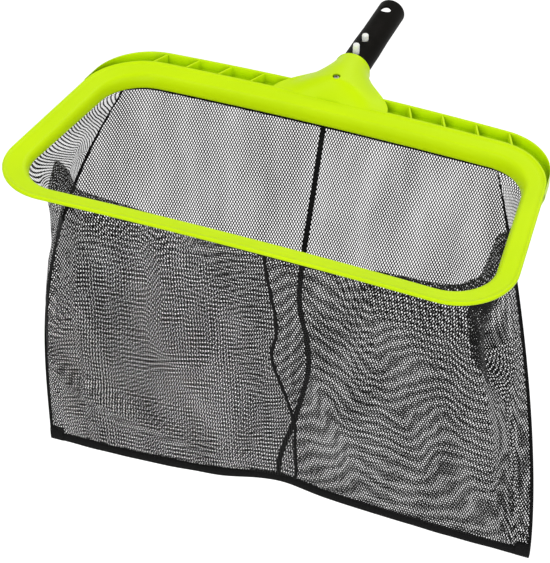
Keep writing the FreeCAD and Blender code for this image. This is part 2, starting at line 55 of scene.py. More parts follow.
def soft_lamp(name, place, width, watts):
    """A square soft box that shines on the net."""
    data = bpy.data.lights.new(name, "AREA")
    data.shape = "SQUARE"
    data.size = width
    data.energy = watts
    lamp = bpy.data.objects.new(name, data)
    lamp.location = place
    towards = Vector((0, -0.3, -0.1)) - Vector(place)
    lamp.rotation_euler = towards.to_track_quat("-Z", "Y").to_euler()
    scene.collection.objects.link(lamp)


soft_lamp("lamp_above_left", (-1.1, -1.3, 2.4), 1.5, 20)
soft_lamp("lamp_front", (0.4, -2.3, 0.7), 1.6, 16)
soft_lamp("lamp_right", (2.0, -0.9, 1.5), 1.4, 12)
soft_lamp("lamp_behind", (0.3, 1.6, 1.8), 1.6, 16)


def add_node(tree, kind, inputs=(), **settings):
    """A shader node with its settings, and its inputs set to values or linked to sockets."""
    node = tree.nodes.new("ShaderNode" + kind)
    for name, value in settings.items():
        setattr(node, name, value)
    for name, value in dict(inputs).items():
        if isinstance(value, bpy.types.NodeSocket):
            tree.links.new(value, node.inputs[name])
        else:
            node.inputs[name].default_value = value
    return node


def worked_out(tree, kind, *values):
    """What a Math node of that kind makes of its values."""
    return add_node(tree, "Math", dict(enumerate(values)), operation=kind).outputs[0]


def seen_directly(tree):
    """1 where the camera, a reflection or a clear material looks at the background."""
    rays = add_node(tree, "LightPath").outputs
    seen = worked_out(tree, "MAXIMUM", rays["Is Camera Ray"], rays["Is Glossy Ray"])
    return worked_out(tree, "MAXIMUM", seen, rays["Is Transmission Ray"])


world = bpy.data.worlds.new("white_studio")
world.use_nodes = True
scene.world = world
sky = world.node_tree
sky_light = sky.nodes["Background"]
sky_light.inputs["Color"].default_value = (1, 1, 1, 1)
sky_light.inputs["Strength"].default_value = 0.42
sky_white = add_node(sky, "Background", {"Color": (1, 1, 1, 1)})
sky_mix = add_node(
    sky, "MixShader",
    {0: seen_directly(sky), 1: sky_light.outputs[0], 2: sky_white.outputs[0]})
sky.links.new(sky_mix.outputs[0], sky.nodes["World Output"].inputs["Surface"])

floor_level = -0.95
floor_reach = 6.0
floor_white = bpy.data.materials.new("floor_white")
floor_white.use_nodes = True
paint = floor_white.node_tree
paint.nodes.clear()
matt = add_node(paint, "BsdfDiffuse", {"Color": (0.88, 0.88, 0.88, 1)})
lift = add_node(
    paint, "Emission", {"Strength": worked_out(paint, "MULTIPLY", seen_directly(paint), 0.50)})
lifted = add_node(paint, "AddShader", {0: matt.outputs[0], 1: lift.outputs[0]})
add_node(paint, "OutputMaterial", {"Surface": lifted.outputs[0]})
floor_mesh = bpy.data.meshes.new("studio_floor")
floor_mesh.from_pydata(
    [(x * floor_reach, y * floor_reach, floor_level)
     for x, y in ((-1, -1), (1, -1), (1, 1), (-1, 1))],
    [], [(0, 1, 2, 3)])
floor_mesh.materials.append(floor_white)
studio_floor = bpy.data.objects.new("studio_floor", floor_mesh)
scene.collection.objects.link(studio_floor)

# The lip of the frame: one lime polypropylene moulding, a rolled rim, a shallow flare, and a
# steeper wall that rolls down to the throat. A groove under the throat takes the net's edge.
front_width = 0.501
rear_width = 0.448
mouth_depth = 0.2375
front_corner = 0.055
rear_corner = 0.061
front_bow = 0.0063
rear_bow = 0.0067
rim_height = 0.0052
rear_rim_y = -0.1793
mouth_y = rear_rim_y - mouth_depth / 2
lip_width = 0.0215
rim_roll = 0.0015
crease_inset = 0.0145
crease_drop = 0.0025
throat_front = 0.011
throat_rear = 0.017
corner_tightening = 0.75
long_steps = 30
short_steps = 16


def bow_radius(chord, bow):
    """Radius of an arc, from its chord and its height."""
    return (chord * chord / 4 + bow * bow) / (2 * bow)


def arc(centre, first, last, steps):
    """Points round centre by the shorter way, from first up to last, without last."""
    start = math.atan2(first.y - centre.y, first.x - centre.x)
    end = math.atan2(last.y - centre.y, last.x - centre.x)
    sweep = (end - start + math.pi) % (2 * math.pi) - math.pi
    radius = (first - centre).length
    points = []
    for step in range(steps):
        angle = start + sweep * step / steps
        points.append(centre + radius * Vector((math.cos(angle), math.sin(angle))))
    return points


def mouth_outline(front, rear, depth, corner_front, corner_rear, bow_front, bow_rear, inset):
    """Closed outline of the mouth round its own middle: it starts at the middle of the front,
    and goes round by the right. Both long edges bow to the rear, and the sides are straight."""
    side = Vector(((rear - front) / 2, depth)).normalized()
    inward = Vector((-side.y, side.x))
    big_front = bow_radius(front, bow_front)
    big_rear = bow_radius(rear, bow_rear)
    middle_front = Vector((0, -depth / 2 + bow_front - big_front))
    middle_rear = Vector((0, depth / 2 + bow_rear - big_rear))
    foot = Vector((front / 2, -depth / 2)) + inward * inset

    def corner(radius, middle, reach, near):
        base = foot + inward * radius - middle
        along = base.dot(side)
        root = math.sqrt(along * along - base.dot(base) + reach * reach)
        options = [foot + inward * radius + side * (sign * root - along) for sign in (-1, 1)]
        centre = min(options, key=lambda spot: abs(spot.y - near))
        return centre, centre - inward * radius, (centre - middle).normalized()

    front_reach = big_front + inset
    rear_reach = big_rear - inset
    centre_a, side_a, out_a = corner(
        corner_front, middle_front, front_reach + corner_front, -depth / 2)
    centre_b, side_b, out_b = corner(
        corner_rear, middle_rear, rear_reach - corner_rear, depth / 2)
    long_a = middle_front + out_a * front_reach
    long_b = middle_rear + out_b * rear_reach
    last = middle_rear + Vector((0, rear_reach))
    half = arc(middle_front, middle_front + Vector((0, front_reach)), long_a, long_steps)
    half += arc(centre_a, long_a, side_a, short_steps)
    half += [side_a.lerp(side_b, step / short_steps) for step in range(short_steps)]
    half += arc(centre_b, side_b, long_b, short_steps)
    half += arc(middle_rear, long_b, last, long_steps)
    left = [Vector((-spot.x, spot.y)) for spot in reversed(half[1:])]
    return half + [last] + left


def lip_ring(inset, drop_front, drop_rear):
    """One line round the lip, inset from the rim and dropped below it."""
    flat = mouth_outline(
        front_width, rear_width, mouth_depth,
        front_corner - corner_tightening * inset, rear_corner - corner_tightening * inset,
        front_bow, rear_bow, inset)
    middle = rim_height - (drop_front + drop_rear) / 2
    slope = (drop_front - drop_rear) / (mouth_depth - 2 * lip_width)
    return [Vector((spot.x, spot.y + mouth_y, middle + slope * spot.y)) for spot in flat]


def throat_line(inset, below):
    """One line round the throat, below its lower edge."""
    return lip_ring(inset, throat_front + below, throat_rear + below)


def skin(rows, round_rows=True, closed=True):
    """Faces between rows of as many points: rows may close on themselves, and so may all."""
    count = len(rows[0])
    vertices = [spot for row in rows for spot in row]
    faces = []
    last_row = len(rows) if closed else len(rows) - 1
    last_spot = count if round_rows else count - 1
    for row in range(last_row):
        here = row * count
        there = (row + 1) % len(rows) * count
        for spot in range(last_spot):
            after = (spot + 1) % count
            faces.append((here + spot, here + after, there + after, there + spot))
    return vertices, faces


def capped(rows):
    """Faces along rows of points that close on themselves, with a face over each end."""
    vertices, faces = skin(rows, closed=False)
    count = len(rows[0])
    faces.append(tuple(range(count)))
    faces.append(tuple(range(len(vertices) - count, len(vertices))))
    return vertices, faces


def new_mesh(name, vertices, faces):
    """A mesh whose faces all look outwards."""
    mesh = bpy.data.meshes.new(name)
    mesh.from_pydata([tuple(spot) for spot in vertices], [], faces)
    work = bmesh.new()
    work.from_mesh(mesh)
    bmesh.ops.recalc_face_normals(work, faces=work.faces)
    work.to_mesh(mesh)
    work.free()
    return mesh


def smoothed(mesh, sharp=40):
    """Smooth shading, with edges sharper than an angle in degrees left crisp."""
    mesh.polygons.foreach_set("use_smooth", [True] * len(mesh.polygons))
    mesh.set_sharp_from_angle(angle=math.radians(sharp))


def new_piece(name, vertices, faces, finish, body="rake", sharp=40):
    """A mesh piece in the model's own place, with its finish and its body."""
    mesh = new_mesh(name, vertices, faces)
    smoothed(mesh, sharp)
    mesh.materials.append(finish)
    piece = bpy.data.objects.new(name, mesh)
    scene.collection.objects.link(piece)
    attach(piece, body)
    return piece


def speckle(tree, shader, colours, drift, grain, strength, height, roughness, detail=4.0):
    """Colour that drifts a little over a surface, as pigment does, and the fine bumps of a
    mould or a weave, with a roughness that changes with them. Drift and grain are scales."""
    place = add_node(tree, "TexCoord").outputs["Object"]
    cloud = add_node(tree, "TexNoise", {"Vector": place, "Scale": drift, "Detail": detail})
    ramp = add_node(tree, "ValToRGB", {"Fac": cloud.outputs["Fac"]})
    for stop, spot, colour in zip(ramp.color_ramp.elements, (0.32, 0.68), colours):
        stop.position = spot
        stop.color = (*colour, 1)
    fine = add_node(tree, "TexNoise", {"Vector": place, "Scale": grain, "Detail": 3.0})
    bump = add_node(tree, "Bump", {
        "Strength": strength, "Distance": height, "Height": fine.outputs["Fac"]})
    spread = add_node(tree, "MapRange", {
        "Value": fine.outputs["Fac"], "To Min": roughness[0], "To Max": roughness[1]})
    tree.links.new(ramp.outputs["Color"], shader.inputs["Base Color"])
    tree.links.new(bump.outputs["Normal"], shader.inputs["Normal"])
    tree.links.new(spread.outputs["Result"], shader.inputs["Roughness"])


def new_finish(name, rough, specular=0.5, **speckles):
    """A finish with its node tree and its shader, and its speckles if it has them."""
    finish = bpy.data.materials.new(name)
    finish.use_nodes = True
    shader = finish.node_tree.nodes["Principled BSDF"]
    shader.inputs["Roughness"].default_value = rough
    shader.inputs["Specular IOR Level"].default_value = specular
    if speckles:
        speckle(finish.node_tree, shader, **speckles)
    return finish, finish.node_tree, shader


lime_plastic, tree, shader = new_finish(
    "lime_plastic", 0.34, 0.1, colours=[(0.60, 0.87, 0.0), (0.66, 0.93, 0.0)], drift=9.0,
    grain=900.0, strength=0.12, height=0.0004, roughness=(0.30, 0.42))
# Painted shade: an ambient occlusion node finds the creases and hollows of the moulding, and the
# lime is painted darker there, where shade falls.
painted_crease_shade = add_node(tree, "AmbientOcclusion", {"Distance": 0.010, "Color": (1, 1, 1, 1)}, samples=6)
painted_shade_factor = add_node(tree, "MapRange", {
    "Value": painted_crease_shade.outputs["AO"], "From Min": 0.35, "From Max": 0.95})
painted_shade_mix = add_node(tree, "Mix", {
    "Factor": painted_shade_factor.outputs["Result"], "A": (0.36, 0.56, 0.0, 1),
    "B": shader.inputs["Base Color"].links[0].from_socket}, data_type="RGBA")
tree.links.new(painted_shade_mix.outputs["Result"], shader.inputs["Base Color"])

lip_section = []
for step in range(9):
    angle = math.radians(135) * step / 8
    inset = rim_roll * (1 - math.cos(angle))
    drop = rim_roll * (1 - math.sin(angle))
    lip_section.append((inset, drop, drop))
for inset, drop in ((0.0032, 0.0009), (0.0060, 0.0011), (0.0100, 0.0016)):
    lip_section.append((inset, drop, drop))
for step in range(11):
    angle = math.pi / 2 * step / 10
    across = math.sin(angle)
    down = 1 - math.cos(angle)
    lip_section.append((
        crease_inset + across * (lip_width - crease_inset),
        crease_drop + down * (throat_front - 0.0008 - crease_drop),
        crease_drop + down * (throat_rear - 0.0008 - crease_drop)))
for inset, above in (
        (0.0212, 0.0002), (0.0207, 0.0), (0.0172, 0.0), (0.0169, 0.0003), (0.0169, 0.0042),
        (0.0133, 0.0042), (0.0133, 0.0003), (0.0130, 0.0), (0.0115, 0.0), (0.0111, 0.0004),
        (0.0111, 0.0015)):
    lip_section.append((inset, throat_front - above, throat_rear - above))
for inset, drop in ((0.0105, 0.0057), (0.0060, 0.0046), (0.0006, 0.0034), (0.0001, 0.0029)):
    lip_section.append((inset, drop, drop))
lip = new_piece(
    "moulded_lip", *skin([lip_ring(*spot) for spot in lip_section]), lime_plastic, sharp=50)
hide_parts("frame")

# The ribbed channel behind the rear of the lip, moulded in one with it. Its outer wall runs
# round both rear corners and dies out on the sides, and ten thin ribs lean towards the neck.
channel_width = 0.017
channel_depth = 0.013
channel_floor = 0.0025
channel_wall = 0.0026
channel_inner = 0.004
channel_bow = 0.0096
channel_corner = 0.060
channel_end_y = mouth_y + 0.060
wall_round = 0.0006
rib_first = 0.050
rib_pitch = 0.0333
rib_thickness = 0.0024
rib_lean = math.radians(25)

shrink = channel_width * (front_width - rear_width) / mouth_depth
inner_line = mouth_outline(
    front_width, rear_width, mouth_depth, front_corner, rear_corner - 0.0025,
    front_bow, rear_bow, 0.0025)
outer_line = mouth_outline(
    front_width, rear_width - shrink, mouth_depth + channel_width, front_corner,
    channel_corner, front_bow, channel_bow, 0)
channel_top = rim_height
channel_bottom = rim_height - channel_depth
rows = []
for inner, outer in zip(inner_line, outer_line):
    inner = Vector((inner.x, inner.y + mouth_y))
    outer = Vector((outer.x, outer.y + mouth_y + channel_width / 2))
    if outer.y < channel_end_y:
        continue
    gap = (outer - inner).length
    out = (outer - inner) / gap
    foot = min(channel_inner, 0.55 * gap)
    wall = max(gap - channel_wall, foot + 0.0001)
    floor = channel_bottom + channel_floor
    section = [
        (0, channel_top - 0.001), (foot, channel_top - 0.0012), (foot, floor + 0.001),
        (foot + 0.0005, floor), (wall - 0.0005, floor), (wall, floor + 0.001),
        (wall, channel_top - wall_round), (wall + wall_round, channel_top),
        (gap - wall_round, channel_top), (gap, channel_top - wall_round),
        (gap, channel_bottom + 0.0012), (gap - 0.0012, channel_bottom), (0, channel_bottom)]
    rows.append([
        Vector((inner.x + out.x * reach, inner.y + out.y * reach, height))
        for reach, height in section])
channel = new_piece("moulded_channel", *capped(rows), lime_plastic, sharp=50)
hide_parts("frame")


def rear_edge(line, across):
    """How far back an outline lies at a place across the net."""
    near = [spot for spot in line if spot.y > 0]
    near.sort(key=lambda spot: abs(spot.x - across))
    first, second = near[0], near[1]
    share = (across - first.x) / (second.x - first.x) if second.x != first.x else 0
    return first.y + share * (second.y - first.y)


def joined(shapes):
    """Several (vertices, faces) shapes as one."""
    vertices = []
    faces = []
    for more_vertices, more_faces in shapes:
        base = len(vertices)
        vertices += more_vertices
        faces += [tuple(base + spot for spot in face) for face in more_faces]
    return vertices, faces


def rib(side, index):
    """One rib, a thin blade with a rounded top, leaning towards the neck."""
    across = side * (rib_first + index * rib_pitch)
    start_y = rear_edge(inner_line, across) + mouth_y
    end_y = rear_edge(outer_line, across) + mouth_y + channel_width / 2 - 0.001
    along = Vector((-side * math.tan(rib_lean), 1))
    half = Vector((math.cos(rib_lean), side * math.sin(rib_lean))) * rib_thickness / 2
    rows = []
    for y in (start_y, end_y):
        middle = Vector((across, start_y)) + along * (y - start_y)
        row = []
        for share, height in (
                (-1.25, channel_bottom + 0.001), (-1, channel_top - 0.0016),
                (-0.6, channel_top - 0.0009), (0.6, channel_top - 0.0009),
                (1, channel_top - 0.0016), (1.25, channel_bottom + 0.001)):
            spot = middle + half * share
            row.append(Vector((spot.x, spot.y, height)))
        rows.append(row)
    return capped(rows)


ten_ribs = joined(rib(side, index) for side in (-1, 1) for index in range(5))
ribs = new_piece("moulded_ribs", *ten_ribs, lime_plastic, sharp=50)
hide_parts("frame")

# The neck, moulded in one with the lip: it rises from the channel, draws in as it goes back,
# and closes round the handle as a collar. A shallow recess on its ridge seats the screw.
exposed_length = 0.110
insert_depth = 0.055
handle_radius = 0.0146
collar_radius = 0.0183
collar_y = -exposed_length
collar_round = 0.0011
neck_wall = 0.004
neck_top = 0.0205
neck_root_top = 0.0045
neck_half_width = 0.058
neck_side_angle = math.radians(12)
neck_start_y = rear_rim_y + rear_bow - 0.003
neck_steps = 44
wing_steps = 36
screw_y = -0.1555
screw_recess_radius = 0.0038
screw_recess_depth = 0.003


def ease(share, start, end):
    """Smooth change from 0 to 1 between two places."""
    inside = max(0.0, min(1.0, (share - start) / (end - start)))
    return inside * inside * (3 - 2 * inside)


def neck_ring(share):
    """Section across the neck: a round ridge above and below two flatter wings."""
    y = neck_start_y + share * (collar_y - neck_start_y)
    side = collar_radius * math.sin(neck_side_angle)
    across = collar_radius * math.cos(neck_side_angle)
    spread = (0.5 + 0.5 * math.cos(math.pi * share)) ** 1.05
    rise = math.sin(math.pi / 2 * min(1, share / 0.30))
    settle = ease(share, 0.55, 1.0)
    half_width = across + spread * (neck_half_width - across)
    top = neck_root_top + rise * (neck_top - neck_root_top)
    top = top + settle * (collar_radius - top)
    bottom = channel_bottom - 0.002
    bottom = bottom - rise * (handle_radius + neck_wall + channel_bottom - 0.002)
    bottom = bottom + settle * (-collar_radius - bottom)
    level = ease(share, 0.3, 1.0)
    wing_top = rim_height - 0.0005 + level * (side - rim_height + 0.0005)
    wing_bottom = channel_bottom + level * (-side - channel_bottom)
    swell = 4.6 - 3.4 * ease(share, 0.0, 0.9)
    low = math.sin(neck_side_angle)
    ring = []
    for sign, wing, end in ((1, wing_top, top), (-1, wing_bottom, bottom)):
        for step in range(wing_steps + 1):
            angle = neck_side_angle + step / wing_steps * (math.pi - 2 * neck_side_angle)
            lift = max(0.0, (math.sin(angle) - low) / (1 - low)) ** swell
            ring.append(Vector((
                sign * half_width * math.cos(angle) / math.cos(neck_side_angle), y,
                wing + (end - wing) * lift)))
    return ring


rows = [neck_ring(step / neck_steps) for step in range(neck_steps)]
collar = neck_ring(1)


def collar_step(radius, y):
    """The collar's section at another radius, moved along to y."""
    return [Vector((spot.x, 0, spot.z)).normalized() * radius + Vector((0, y, 0))
            for spot in collar]


for step in range(5):
    angle = math.pi / 2 * step / 4
    rows.append(collar_step(
        collar_radius - collar_round * (1 - math.cos(angle)),
        collar_y - collar_round * (1 - math.sin(angle))))
rows.append(collar_step(handle_radius + 0.0004, collar_y))
rows.append(collar_step(handle_radius + 0.00005, collar_y - 0.0004))
rows.append(collar_step(handle_radius + 0.00005, collar_y - 0.012))
neck = new_piece("moulded_neck", *capped(rows), lime_plastic, sharp=60)


def lathe(profile, segments):
    """Faces of a shape turned about +Z from (radius, height) pairs; ends at radius 0 close."""
    vertices = []
    faces = []
    starts = []
    for radius, height in profile:
        starts.append(len(vertices))
        if radius == 0:
            vertices.append(Vector((0, 0, height)))
            continue
        for segment in range(segments):
            angle = 2 * math.pi * segment / segments
            vertices.append(Vector((radius * math.cos(angle), radius * math.sin(angle), height)))
    for index in range(len(profile) - 1):
        lower, upper = starts[index], starts[index + 1]
        for segment in range(segments):
            after = (segment + 1) % segments
            if profile[index][0] == 0:
                faces.append((lower, upper + after, upper + segment))
            elif profile[index + 1][0] == 0:
                faces.append((lower + segment, lower + after, upper))
            else:
                faces.append((lower + segment, lower + after, upper + after, upper + segment))
    return vertices, faces


def cut_out(piece, vertices, faces):
    """Cuts a closed shape out of a piece."""
    cutter = bpy.data.objects.new("cutter", new_mesh("cutter", vertices, faces))
    scene.collection.objects.link(cutter)
    cut = piece.modifiers.new("cut", "BOOLEAN")
    cut.operation = "DIFFERENCE"
    cut.solver = "EXACT"
    cut.object = cutter
    graph = bpy.context.evaluated_depsgraph_get()
    graph.update()
    result = bpy.data.meshes.new_from_object(piece.evaluated_get(graph))
    piece.modifiers.clear()
    piece.data = result
    bpy.data.objects.remove(cutter)
    smoothed(result)


seat = Vector((0, screw_y, neck_top - screw_recess_depth))
vertices, faces = lathe(
    [(0, 0), (screw_recess_radius, 0), (screw_recess_radius, 0.003),
     (screw_recess_radius + 0.0006, 0.006), (0, 0.006)], 40)
cut_out(neck, [spot + seat for spot in vertices], faces)
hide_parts("frame")

# The screw that holds the handle in the neck: a pan head with a cross recess, plated steel,
# driven down through the neck into the wall of the tube.
screw_head_radius = 0.0030
screw_head_height = 0.0024
screw_shank_radius = 0.0018
screw_length = 0.012
screw_slot = 0.0010

screw_steel, tree, shader = new_finish(
    "screw_steel", 0.3, colours=[(0.20, 0.19, 0.17), (0.34, 0.33, 0.30)], drift=300.0,
    grain=2500.0, strength=0.2, height=0.0002, roughness=(0.22, 0.42))
shader.inputs["Metallic"].default_value = 1.0

profile = [(0, -screw_length), (screw_shank_radius, -screw_length), (screw_shank_radius, 0),
           (screw_head_radius - 0.0002, 0), (screw_head_radius, 0.0002)]
for step in range(9):
    angle = math.pi / 2 * step / 8
    profile.append((
        screw_head_radius * math.cos(angle) ** 0.7,
        0.0008 + (screw_head_height - 0.0008) * math.sin(angle)))
profile[-1] = (0, screw_head_height)
vertices, faces = lathe(profile, 48)
screw = new_piece("cross_screw", [spot + seat for spot in vertices], faces, screw_steel)
for turn in (45, 135):
    angle = math.radians(turn)
    long = Vector((math.cos(angle), math.sin(angle), 0)) * screw_head_radius * 0.68
    wide = Vector((-math.sin(angle), math.cos(angle), 0)) * screw_slot / 2
    cut_out(screw, *capped([
        [seat + long * a + wide * b + Vector((0, 0, height))
         for a, b in ((-1, -1), (1, -1), (1, 1), (-1, 1))] for height in (0.0013, 0.004)]))
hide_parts("neck_screw")

# The handle: one black polypropylene tube, straight where the pole slides over it and thicker
# towards the neck, with a hanging hole near its open end and slots for the clip's pins.
guide_radius = 0.014
guide_length = 0.047
taper_length = 0.024
handle_bore = 0.012
handle_edge = 0.0007
end_hole_radius = 0.00525
end_hole_y = -0.0175
snap_pin_y = -0.0765
finger_button_y = -0.102
pin_radius = 0.00325
slot_clearance = 0.0005
clip_pivot_y = -0.035
clip_pivot_z = 0.003
press_angle = math.radians(7.6)
snap_pin_height = 0.0052
finger_button_height = 0.0096
pins = ((snap_pin_y, snap_pin_height), (finger_button_y, finger_button_height))

black_plastic = new_finish(
    "black_plastic", 0.42, 0.01, colours=[(0.005, 0.005, 0.004), (0.009, 0.008, 0.007)],
    drift=60.0, grain=1400.0, strength=0.25, height=0.0003, roughness=(0.36, 0.52))[0]

handle_length = exposed_length + insert_depth
middle = (handle_bore + guide_radius) / 2
reach = (guide_radius - handle_bore) / 2
profile = [(handle_bore, handle_length), (handle_bore, 0)]
for step in range(13):
    angle = math.pi * step / 12
    profile.append((
        middle - reach * math.cos(angle) ** 3 if step != 6 else middle,
        -handle_edge * math.sin(angle) ** 0.6))
profile += [
    (guide_radius, guide_length), (guide_radius + 0.00005, guide_length + 0.001),
    (handle_radius - 0.00005, guide_length + taper_length - 0.001),
    (handle_radius, guide_length + taper_length), (handle_radius, handle_length),
    (handle_bore, handle_length)]
vertices, faces = lathe(profile, 112)
handle = new_piece(
    "black_handle", [Vector((spot.x, -spot.z, spot.y)) for spot in vertices], faces,
    black_plastic)


def upright_slot(radius, near_y, far_y, segments):
    """Closed prism through the tube, with round ends."""
    outline = []
    for start, y in ((0, near_y), (math.pi, far_y)):
        for step in range(segments + 1):
            angle = start + math.pi * step / segments
            outline.append((radius * math.cos(angle), y + radius * math.sin(angle)))
    return capped([[Vector((x, y, height)) for x, y in outline] for height in (-0.03, 0.03)])


for y, height in pins:
    swing = (handle_radius + height - clip_pivot_z) * math.sin(press_angle)
    cut_out(handle, *upright_slot(pin_radius + slot_clearance, y, y - swing, 16))
cut_out(handle, *upright_slot(end_hole_radius, end_hole_y, end_hole_y - 0.00001, 24))
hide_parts("handle_tube")

# The snap clip: one V of natural nylon inside the tube. Each leg carries a short snap pin,
# which locks the pole, and a taller finger button. Both reach out through slots of the tube.
arm_thickness = 0.0018
arm_half_width = 0.006
arm_length = 0.071
arm_reach = 0.0117
arm_rise = handle_bore - 0.0003 - arm_thickness / 2 - 0.00015 - clip_pivot_z

white_nylon, tree, shader = new_finish(
    "white_nylon", 0.35, colours=[(0.90, 0.91, 0.86), (0.96, 0.96, 0.92)], drift=220.0,
    grain=1200.0, strength=0.15, height=0.0003, roughness=(0.30, 0.42))
shader.inputs["Subsurface Weight"].default_value = 0.25
shader.inputs["Subsurface Radius"].default_value = (0.002, 0.002, 0.0015)


def clip_leg(sign):
    """Rows across one leg, trimmed to the tube's bore, and then its two pins."""
    rows = []
    for step in range(25):
        along = 0.0003 + (arm_length - 0.0003) * step / 24
        middle = clip_pivot_z + arm_rise * along / arm_length
        row = []
        for over, share in (
                (-1, -1), (-1, 1), (-0.7, 1.04), (0.7, 1.04), (1, 1), (1, -1), (0.7, -1.04),
                (-0.7, -1.04)):
            height = middle + over * arm_thickness / 2
            half = min(arm_half_width, math.sqrt(arm_reach ** 2 - height ** 2))
            half = half * (1 - 0.35 * ease(step / 24, 0.97, 1.0))
            row.append(Vector((min(abs(share), 1) * math.copysign(half, share),
                               clip_pivot_y - along, sign * height)))
        rows.append(row)
    shapes = [capped(rows)]
    for y, height in pins:
        foot = clip_pivot_z + arm_rise * (clip_pivot_y - y) / arm_length
        top = handle_radius + height
        profile = [(0, foot), (pin_radius, foot)]
        for step in range(11):
            angle = math.pi / 2 * step / 10
            profile.append((
                pin_radius * (0.38 + 0.62 * math.cos(angle)),
                top - 0.0016 + 0.0016 * math.sin(angle)))
        profile.append((0, top + 0.00002))
        vertices, faces = lathe(profile, 40)
        shapes.append((
            [Vector((spot.x, spot.y + y, sign * spot.z)) for spot in vertices], faces))
    return joined(shapes)


for name, sign in (("upper", 1), ("lower", -1)):
    leg = new_piece(
        "clip_" + name + "_leg", *clip_leg(sign), white_nylon, body=name + "_arm")
    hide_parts("clip_" + name + "_arm")

rows = []
for step in range(25):
    angle = math.pi * step / 24
    row = []
    for across, over in (
            (-1, 0), (-0.96, 0.5), (0.96, 0.5), (1, 0), (0.96, -0.5), (-0.96, -0.5)):
        radius = clip_pivot_z + over * arm_thickness
        row.append(Vector((
            across * arm_half_width, clip_pivot_y + radius * math.sin(angle),
            radius * math.cos(angle))))
    rows.append(row)
bend = new_piece("clip_round_bend", *capped(rows), white_nylon)
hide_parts("clip_bend")

# The binding that edges the top of the net, a folded strip of black woven tape sewn round it,
# and the rubber spline pressed into the groove beside it, which wedges it in.
binding_outer = 0.01335
binding_thickness = 0.0015
binding_top = -0.00415
binding_bottom = 0.0023
spline_outer = 0.0149
spline_inner = 0.01685
spline_height = 0.0036

binding_tape = new_finish(
    "binding_tape", 0.85, 0.1, colours=[(0.003, 0.003, 0.003), (0.010, 0.010, 0.010)],
    drift=700.0, detail=6.0, grain=1500.0, strength=0.7, height=0.0006,
    roughness=(0.75, 0.95))[0]
spline_rubber = new_finish(
    "spline_rubber", 0.7, 0.3, colours=[(0.014, 0.014, 0.014), (0.026, 0.026, 0.026)],
    drift=200.0, grain=1100.0, strength=0.3, height=0.0004, roughness=(0.6, 0.8))[0]

corner = 0.0004
outer, inner = binding_outer, binding_outer + binding_thickness
rows = [throat_line(inset, below) for inset, below in (
    (outer, binding_top + corner), (outer, -0.001), (outer, binding_bottom - corner),
    (outer + corner, binding_bottom), (inner - corner, binding_bottom),
    (inner, binding_bottom - corner), (inner, -0.001), (inner, binding_top + corner),
    (inner - corner, binding_top), (outer + corner, binding_top))]
binding = new_piece("binding_strip", *skin(rows), binding_tape)
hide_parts("mouth_binding")


def squarish(count, power):
    """Points (across, up) round a section between a circle and a square, 1 in half width."""
    angles = [2 * math.pi * step / count for step in range(count)]
    return [tuple(math.copysign(abs(part) ** power, part)
                  for part in (math.cos(angle), math.sin(angle))) for angle in angles]


middle = (spline_outer + spline_inner) / 2
half = (spline_inner - spline_outer) / 2
rows = [throat_line(middle + half * across, binding_top + spline_height / 2 * (1 - up))
        for across, up in squarish(14, 0.6)]
spline = new_piece("rubber_spline", *skin(rows), spline_rubber)
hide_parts("retaining_spline")

# The net bag: four panels of black knitted polyester mesh, two in front that also wrap round
# the sides and two at the back, sewn to the binding above and into the hem below.
net_inset = 0.0141
net_top = binding_bottom - 0.0003
hole_pitch = 0.0027
hole_rows = 0.0024
strand = 0.50
slack_share = 0.09
sewn_edge = 0.0043
left_seam_top = Vector((-0.197, -0.205))
right_seam_top = Vector((0.170, -0.199))
front_seam_top = 0.022
front_seam_foot = 0.024
back_seam_foot = 0.006
# How each panel's cloth was cut: the pull on its stitches, and the turn of its rows in degrees.
cuts = {
    "front_left": (0.88, -27), "front_right": (0.92, 22),
    "back_left": (1.02, -7), "back_right": (1.02, -2)}
hem_course = [Vector(spot) for spot in (
    (-0.240, -0.336, -0.3770), (-0.150, -0.332, -0.3765), (-0.060, -0.325, -0.3725),
    (0.004, -0.315, -0.3660), (0.060, -0.317, -0.3690), (0.130, -0.318, -0.3700),
    (0.200, -0.320, -0.3680), (0.271, -0.322, -0.3640))]


def lengths_along(points):
    """Length run up to each point of a line."""
    lengths = [0.0]
    for first, second in zip(points, points[1:]):
        lengths.append(lengths[-1] + (second - first).length)
    return lengths


def along_line(points, share):
    """Place at a share of the length of a line of points."""
    lengths = lengths_along(points)
    goal = share * lengths[-1]
    for index in range(len(points) - 1):
        if goal <= lengths[index + 1] or index == len(points) - 2:
            step = lengths[index + 1] - lengths[index]
            inside = (goal - lengths[index]) / step if step else 0
            return points[index].lerp(points[index + 1], max(0.0, min(1.0, inside)))


def smooth_course(points, steps):
    """A smooth curve through the given points."""
    padded = [2 * points[0] - points[1]] + points + [2 * points[-1] - points[-2]]
    course = []
    for index in range(1, len(padded) - 2):
        before, first, second, after = padded[index - 1:index + 3]
        for step in range(steps):
            part = step / steps
            course.append(0.5 * (
                2 * first + (second - before) * part
                + (2 * before - 5 * first + 4 * second - after) * part * part
                + (3 * first - before - 3 * second + after) * part * part * part))
    return course + [points[-1]]


hem_line = smooth_course(hem_course, 10)


def hem_at(across):
    """Point of the hem's middle line at a place across the net."""
    for first, second in zip(hem_line, hem_line[1:]):
        if across <= second.x:
            share = (across - first.x) / (second.x - first.x)
            return first.lerp(second, max(0.0, share))
    return hem_line[-1].copy()


net_ring = throat_line(net_inset, net_top)
ring_count = len(net_ring)
corner_middle = long_steps + short_steps // 2


def nearest(place, first, last):
    """Number of the ring's point nearest a place, among the numbers given."""
    return min(range(first, last), key=lambda i: (net_ring[i].xy - place).length)


right_seam = nearest(right_seam_top, 0, ring_count // 2)
left_seam = nearest(left_seam_top, ring_count // 2, ring_count)
front_seam = nearest(Vector((front_seam_top, mouth_y - mouth_depth / 2)), 0, ring_count // 4)
back_seam = ring_count // 2
left_foot = hem_line[0].x
right_foot = hem_line[-1].x


